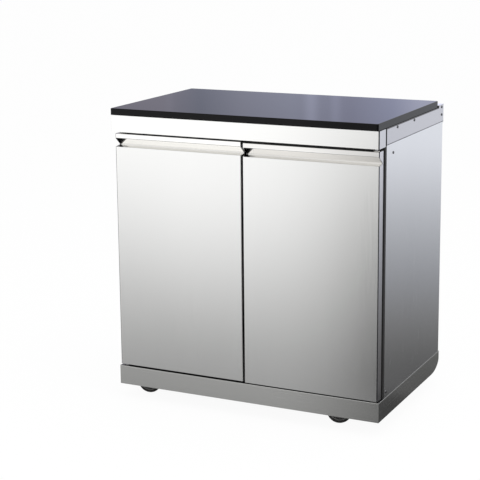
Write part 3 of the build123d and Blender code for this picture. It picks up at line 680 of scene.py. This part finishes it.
def makeSkirtPlate(nodeName, values):
    plate = copied(nodes[nodeName], nodeName + "_plate")
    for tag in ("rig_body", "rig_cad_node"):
        del plate[tag]
    plate.modifiers.clear()
    corner = (0, values["y"], values["z"])
    reach = values["radius"] + values["margin"]

    def atCorner(end):
        return values["y"] - end.y < reach and end.z - values["z"] < reach

    pick(plate)
    bpy.ops.object.mode_set(mode="EDIT")
    bpy.ops.mesh.select_all(action="SELECT")
    bpy.ops.mesh.remove_doubles(threshold=mergeGap)
    selectEdges(plate, lambda a, b: atCorner(a) and atCorner(b))
    bpy.ops.transform.resize(value=(1, values["longer"], values["taller"]), center_override=corner)
    bpy.ops.object.mode_set(mode="OBJECT")
    bpy.ops.object.shade_smooth_by_angle(angle=bendLimit)
    weighNormals(plate)
    applyModifiers(plate)
    return plate


for side in ("left", "right"):
    plate = makeSkirtPlate("skirt_" + side, skirtCorner)
    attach(plate, "cabinet")
    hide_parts("skirt_" + side)
print("side skirts modelled")


screw = {"headRadius": 0.0043, "headHeight": 0.0018, "headSteps": 36, "crown": 0.0013, "crownSteps": 5,
         "slotWidth": 0.001, "slotReach": 0.0023, "slotDepth": 0.0011, "slotTaper": 0.45, "overrun": 0.001,
         "shankRadius": 0.002, "shankSteps": 14, "length": 0.009, "threads": 6, "threadWaist": 0.8,
         "tip": 0.5, "firstTwist": 20, "twistStep": 37}
# each screw's place on the right, as (x, y, z); it has a twin on the left
backRows = {"count": 4, "lowest": 0.1445, "rise": 0.6715}
backLevels = [backRows["lowest"] + backRows["rise"] / (backRows["count"] - 1) * row
              for row in range(backRows["count"])]
screwPlaces = {
    "band_screws": [(0.435, -0.136, 0.898), (0.435, 0.010, 0.898),
                    (0.435, 0.270, 0.904), (0.435, 0.270, 0.880)],
    "panel_screws": [(0.4338, -0.167, 0.828), (0.4338, -0.207, 0.121)],
    "back_screws": [(0.4258, 0.285, level) for level in backLevels],
}


def makeScrewHead(values):
    height = values["headHeight"]
    head = addCylinder(values["headSteps"], values["headRadius"], height, height / 2)
    bpy.ops.object.mode_set(mode="EDIT")
    top = height / 2 * justInside
    selectEdges(head, lambda a, b: a.z > top and b.z > top)
    bpy.ops.mesh.bevel(offset=values["crown"], segments=values["crownSteps"], profile=0.5)
    bpy.ops.object.mode_set(mode="OBJECT")
    applyPlace(head)
    # cross recess, one tapered cutter for each slot
    level = height - values["slotDepth"] / 2 + values["overrun"] / 2
    for turn in (0, 90):
        deselectAll()
        bpy.ops.mesh.primitive_cube_add(size=1, location=(0, 0, level))
        cutter = bpy.context.object
        cutter.scale = (values["slotReach"] * 2, values["slotWidth"], values["slotDepth"] + values["overrun"])
        cutter.rotation_euler = (0, 0, radians(turn))
        applyPlace(cutter)
        bpy.ops.object.mode_set(mode="EDIT")
        bpy.ops.mesh.select_mode(type="FACE")
        selectFaces(cutter, lambda centre, normal: normal.z < -squareOn)
        bpy.ops.transform.resize(value=(values["slotTaper"], values["slotTaper"], 1))
        bpy.ops.object.mode_set(mode="OBJECT")
        recess = head.modifiers.new("recess", "BOOLEAN")
        recess.operation = "DIFFERENCE"
        recess.object = cutter
        applyModifiers(head)
        bpy.data.objects.remove(cutter)
    return head


def makeScrewShank(values):
    length = values["length"]
    shank = addCylinder(values["shankSteps"], values["shankRadius"], length, -length / 2)
    applyPlace(shank)
    bpy.ops.object.mode_set(mode="EDIT")
    steps = values["threads"] * 2
    levels = [-length * (step + 0.5) / steps for step in range(steps)]
    for level in levels:
        bpy.ops.mesh.select_all(action="SELECT")
        bpy.ops.mesh.bisect(plane_co=(0, 0, level), plane_no=(0, 0, 1))
    # every second ring is drawn in, so that the threads stand out
    for level in levels[1::2]:
        selectEdges(shank, lambda a, b: abs(a.z - level) < levelGap and abs(b.z - level) < levelGap)
        bpy.ops.transform.resize(value=(values["threadWaist"], values["threadWaist"], 1))
    foot = -length * justInside
    selectEdges(shank, lambda a, b: a.z < foot and b.z < foot)
    bpy.ops.transform.resize(value=(values["tip"], values["tip"], 1))
    bpy.ops.object.mode_set(mode="OBJECT")
    return shank


def makeScrew(values):
    whole = joined([makeScrewHead(values), makeScrewShank(values)], "screw")
    pick(whole)
    bpy.ops.object.mode_set(mode="EDIT")
    turnFacesOut()
    return whole


screwModel = makeScrew(screw)
for nodeName, places in screwPlaces.items():
    copies = []
    for x, y, z in places:
        for side in (1, -1):
            # each is driven to a turn of its own, and its head looks out of its sheet
            twist = Matrix.Rotation(radians(screw["twistStep"] * len(copies) + screw["firstTwist"]), 4, "Z")
            if nodeName == "back_screws":
                turn = Matrix.Rotation(radians(-90), 4, "X")
            else:
                turn = Matrix.Rotation(radians(90 * side), 4, "Y")
            twin = copied(screwModel, "screwCopy")
            twin.data.transform(Matrix.Translation((side * x, y, z)) @ turn @ twist)
            copies.append(twin)
    group = joined(copies, nodeName.replace("_screws", "ScrewHeads"))
    group.data.materials.append(materials["screwSteel"])
    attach(group, "cabinet")
    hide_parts(nodeName)
bpy.data.objects.remove(screwModel)
print("screws modelled")


# lengths in metres, angles in degrees; a pair is where a step starts and where it is full
stageLook = {
    "size": 60.0, "matte": (0.97, 0.97, 0.97), "shadowShare": 0.06,
    "halfWidth": 0.435, "halfDepth": 0.285, "doorFace": -0.27, "rightEdge": 0.43,
    # how bright the floor looks in the steel, by metres from the cabinet: in front, and all round
    "reach": 5.0,
    "frontTones": [(0.0, 0.33), (0.25, 0.34), (0.6, 0.41), (1.8, 0.77), (3.2, 1.055), (4.6, 1.14)],
    "roundTones": [(0.0, 0.09), (0.25, 0.12), (0.6, 0.175), (1.8, 0.385), (4.7, 0.85)],
    # the front tones lie before the doors; their right end moves this far to the left for each metre ahead
    "frontLean": 0.433, "frontEnd": (0.62, 0.08), "frontStart": (-0.27, -0.38),
    # a cooler tint far out beside the cabinet
    "roundTint": (0.96, 0.985, 1.05), "tintOut": (0.3, 1.5), "tintBack": (-0.6, 0.2),
    # a dark flag from ahead of the doors' right edge round to the side: share taken, bearings round that
    # edge and metres from the cabinet
    "darkFlag": 0.5, "flagStart": (-14, -2), "flagEnd": (130, 112), "flagOut": (0.05, 0.5),
    # small flags lying on the floor: place, core, edge and the tone that they leave
    "patches": [(-0.92, -0.08, 0.24, 0.42, 0.12), (0.52, -0.04, 0.06, 0.22, 0.5)],
    # the doors mirror less light towards both outer edges: lean as above, edges, share taken,
    # and how far ahead it starts and ends
    "fades": [{"lean": 0.6, "edges": (-0.03, -0.6), "share": 0.17, "near": (0.3, 1.2), "far": (5.0, 2.6)},
              {"lean": 0.377, "edges": (0.278, 0.5), "share": 0.42, "near": (0.25, 0.5), "far": (4.8, 4.2)}],
}


def outsideOf(tree, value, half):
    # how far a coordinate lies past the cabinet's side
    return calc(tree, "MAXIMUM", calc(tree, "SUBTRACT", calc(tree, "ABSOLUTE", value), half), 0.0)


def leanedAside(tree, x, ahead, lean):
    return calc(tree, "ADD", x, calc(tree, "MULTIPLY", ahead, lean))


def greyRamp(tree, apart, tones, reach):
    return rampTone(tree, apart, [(metres, (level, level, level)) for metres, level in tones], reach)


def floorTone(tree, look, x, y, apart, ahead):
    # dim beside the cabinet and white further out
    aside = leanedAside(tree, x, ahead, look["frontLean"])
    inFront = calc(tree, "MULTIPLY", smoothStep(tree, aside, *look["frontEnd"]),
                   smoothStep(tree, y, *look["frontStart"]))
    tinted = calc(tree, "MULTIPLY", smoothStep(tree, apart, *look["tintOut"]),
                  smoothStep(tree, y, *look["tintBack"]))
    around = greyRamp(tree, apart, look["roundTones"], look["reach"])
    around = mixTones(tree, tinted, around, look["roundTint"], "MULTIPLY")
    return mixTones(tree, inFront, around, greyRamp(tree, apart, look["frontTones"], look["reach"]))


def floorShade(tree, look, x, y, apart, ahead):
    # the share of that tone that the flags and fades leave
    bearing = calc(tree, "ARCTAN2", calc(tree, "SUBTRACT", x, look["rightEdge"]),
                   calc(tree, "SUBTRACT", look["doorFace"], y))
    started, ended = [[radians(value) for value in look[key]] for key in ("flagStart", "flagEnd")]
    flag = calc(tree, "MULTIPLY", smoothStep(tree, bearing, *started), smoothStep(tree, bearing, *ended))
    flag = calc(tree, "MULTIPLY", flag, smoothStep(tree, apart, *look["flagOut"]))
    shade = calc(tree, "SUBTRACT", 1.0, calc(tree, "MULTIPLY", flag, look["darkFlag"]))
    for placeX, placeY, core, edge, left in look["patches"]:
        off = distance(tree, calc(tree, "SUBTRACT", x, placeX), calc(tree, "SUBTRACT", y, placeY))
        patch = calc(tree, "ADD", calc(tree, "MULTIPLY", smoothStep(tree, off, core, edge), 1.0 - left), left)
        shade = calc(tree, "MULTIPLY", shade, patch)
    for fade in look["fades"]:
        aside = leanedAside(tree, x, ahead, fade["lean"])
        taken = calc(tree, "MULTIPLY", smoothStep(tree, aside, *fade["edges"]), fade["share"])
        taken = calc(tree, "MULTIPLY", taken, smoothStep(tree, ahead, *fade["near"]))
        taken = calc(tree, "MULTIPLY", taken, smoothStep(tree, ahead, *fade["far"]))
        shade = calc(tree, "MULTIPLY", shade, calc(tree, "SUBTRACT", 1.0, taken))
    return shade


def mixShaders(tree, share, first, second):
    node = addNode(tree, "ShaderNodeMixShader")
    feed(tree, node.inputs["Fac"], share)
    tree.links.new(first, node.inputs[1])
    tree.links.new(second, node.inputs[2])
    return node.outputs["Shader"]


def makeFloorMaterial(look):
    material, tree, shader = newMaterial("studioFloor")
    tree.nodes.remove(shader)
    x, y, _ = splitPlace(tree, addNode(tree, "ShaderNodeTexCoord").outputs["Object"])
    apart = distance(tree, outsideOf(tree, x, look["halfWidth"]), outsideOf(tree, y, look["halfDepth"]))
    ahead = calc(tree, "MAXIMUM", calc(tree, "SUBTRACT", look["doorFace"], y), 0.0)
    matteNode = addNode(tree, "ShaderNodeBsdfDiffuse")
    feed(tree, matteNode.inputs["Color"], look["matte"])
    matte = matteNode.outputs["BSDF"]
    mirrored = addNode(tree, "ShaderNodeEmission")
    feed(tree, mirrored.inputs["Color"], floorTone(tree, look, x, y, apart, ahead))
    feed(tree, mirrored.inputs["Strength"], floorShade(tree, look, x, y, apart, ahead))
    # the camera sees plain white with a little of the shadow, the steel mirrors the toned floor
    white = addNode(tree, "ShaderNodeEmission")
    seen = mixShaders(tree, look["shadowShare"], white.outputs["Emission"], matte)
    path = addNode(tree, "ShaderNodeLightPath")
    lit = mixShaders(tree, path.outputs["Is Glossy Ray"], matte, mirrored.outputs["Emission"])
    whole = mixShaders(tree, path.outputs["Is Camera Ray"], lit, seen)
    tree.links.new(whole, tree.nodes["Material Output"].inputs["Surface"])
    return material


deselectAll()
bpy.ops.mesh.primitive_plane_add(size=stageLook["size"], location=(0, 0, 0))
floor = bpy.context.object
floor.name = "studioFloor"
floor.data.materials.append(makeFloorMaterial(stageLook))
print("floor laid")

worldLook = {
    # the far wall that the stone mirrors: degrees to the left of straight back, and tone
    "wall": [(0, (0.89, 0.89, 0.912)), (15, (0.848, 0.869, 0.986)), (18.8, (0.806, 0.837, 1.081)),
             (19.8, (0.604, 0.636, 0.869)), (21.5, (0.488, 0.503, 0.678)), (24, (0.541, 0.562, 0.721)),
             (26, (0.477, 0.488, 0.615)), (27.7, (0.35, 0.366, 0.466)), (29.3, (0.435, 0.419, 0.509)),
             (34, (0.392, 0.376, 0.445))],
    "wallReach": 40,
    # light strips on the wall: bearing, half width, gain
    "strips": [(23.15, 0.45, 0.22), (22.15, 0.35, 0.14), (28.95, 0.3, 0.06)],
    # the wall takes over from the front as a direction turns back, and the ceiling as it turns up
    "front": (0.86, 0.855, 0.84), "wallFrom": (0.0, 0.5),
    "ceiling": (0.95, 0.95, 0.95), "ceilingFrom": (0.22, 0.5),
    # dark flags overhead, which only the finger grooves mirror: direction, edge and core as cosines, tone
    "flags": [((-0.51, -0.06, 0.858), 0.93, 0.965, 0.08), ((-0.39, -0.54, 0.745), 0.91, 0.97, 0.5)],
}


def wallTone(tree, look, x, y):
    bearing = calc(tree, "DEGREES", calc(tree, "ARCTAN2", calc(tree, "MULTIPLY", x, -1.0), y))
    gain = 1.0
    for side, half, extra in look["strips"]:
        off = calc(tree, "ABSOLUTE", calc(tree, "SUBTRACT", bearing, side))
        gain = calc(tree, "ADD", calc(tree, "MULTIPLY", smoothStep(tree, off, half, 0.0), extra), gain)
    return scaleTone(tree, rampTone(tree, bearing, look["wall"], look["wallReach"]), gain)


def makeWorld(look):
    world = bpy.data.worlds.new("studioRoom")
    scene.world = world
    world.use_nodes = True
    tree = world.node_tree
    direction = addNode(tree, "ShaderNodeTexCoord").outputs["Generated"]
    x, y, z = splitPlace(tree, direction)
    room = mixTones(tree, smoothStep(tree, y, *look["wallFrom"]), look["front"], wallTone(tree, look, x, y))
    room = mixTones(tree, smoothStep(tree, z, *look["ceilingFrom"]), room, look["ceiling"])
    for towards, edge, core, dark in look["flags"]:
        near = addNode(tree, "ShaderNodeVectorMath", operation="DOT_PRODUCT")
        near.inputs[1].default_value = towards
        tree.links.new(direction, near.inputs[0])
        room = mixTones(tree, smoothStep(tree, near.outputs["Value"], edge, core), room, (dark, dark, dark))
    background = tree.nodes["Background"]
    tree.links.new(room, background.inputs["Color"])
    white = addNode(tree, "ShaderNodeBackground")
    feed(tree, white.inputs["Color"], (1, 1, 1))
    path = addNode(tree, "ShaderNodeLightPath")
    whole = mixShaders(tree, path.outputs["Is Camera Ray"], background.outputs["Background"],
                       white.outputs["Background"])
    tree.links.new(whole, tree.nodes["World Output"].inputs["Surface"])


makeWorld(worldLook)

lamps = {
    "ceilingSoftbox": {"at": (0.3, -0.4, 3.2), "size": 2.4, "power": 22, "aim": (0.3, -0.4, 0)},
    # this one lights the front and doesn't show in the steel
    "leftSoftbox": {"at": (-2.4, -3.0, 2.6), "size": 2.6, "power": 20, "aim": (0, 0, 0.5), "hidden": True},
    "rightSoftbox": {"at": (3.2, -0.6, 2.4), "size": 2.6, "power": 18, "aim": (0, 0, 0.5)},
}
for name, values in lamps.items():
    lamp = bpy.data.lights.new(name, "AREA")
    lamp.shape = "SQUARE"
    lamp.size = values["size"]
    lamp.energy = values["power"]
    holder = bpy.data.objects.new(name, lamp)
    scene.collection.objects.link(holder)
    holder.visible_glossy = not values.get("hidden", False)
    holder.location = values["at"]
    holder.rotation_euler = (Vector(values["aim"]) - Vector(values["at"])).to_track_quat("-Z", "Y").to_euler()

cameraLook = {"at": (1.789702, -3.935406, 1.507548), "turn": (78.4365, 0.5437, 25.9947), "lens": 105.648,
              "sensor": 36, "shiftY": -0.08333, "farEnd": 100}
camera = bpy.data.cameras.new("photoCamera")
camera.lens = cameraLook["lens"]
camera.sensor_width = cameraLook["sensor"]
camera.shift_y = cameraLook["shiftY"]
camera.clip_end = cameraLook["farEnd"]
tripod = bpy.data.objects.new("photoCamera", camera)
scene.collection.objects.link(tripod)
tripod.location = cameraLook["at"]
tripod.rotation_euler = [radians(value) for value in cameraLook["turn"]]
scene.camera = tripod

scene.view_settings.view_transform = "Standard"
print("stage, light and camera set")
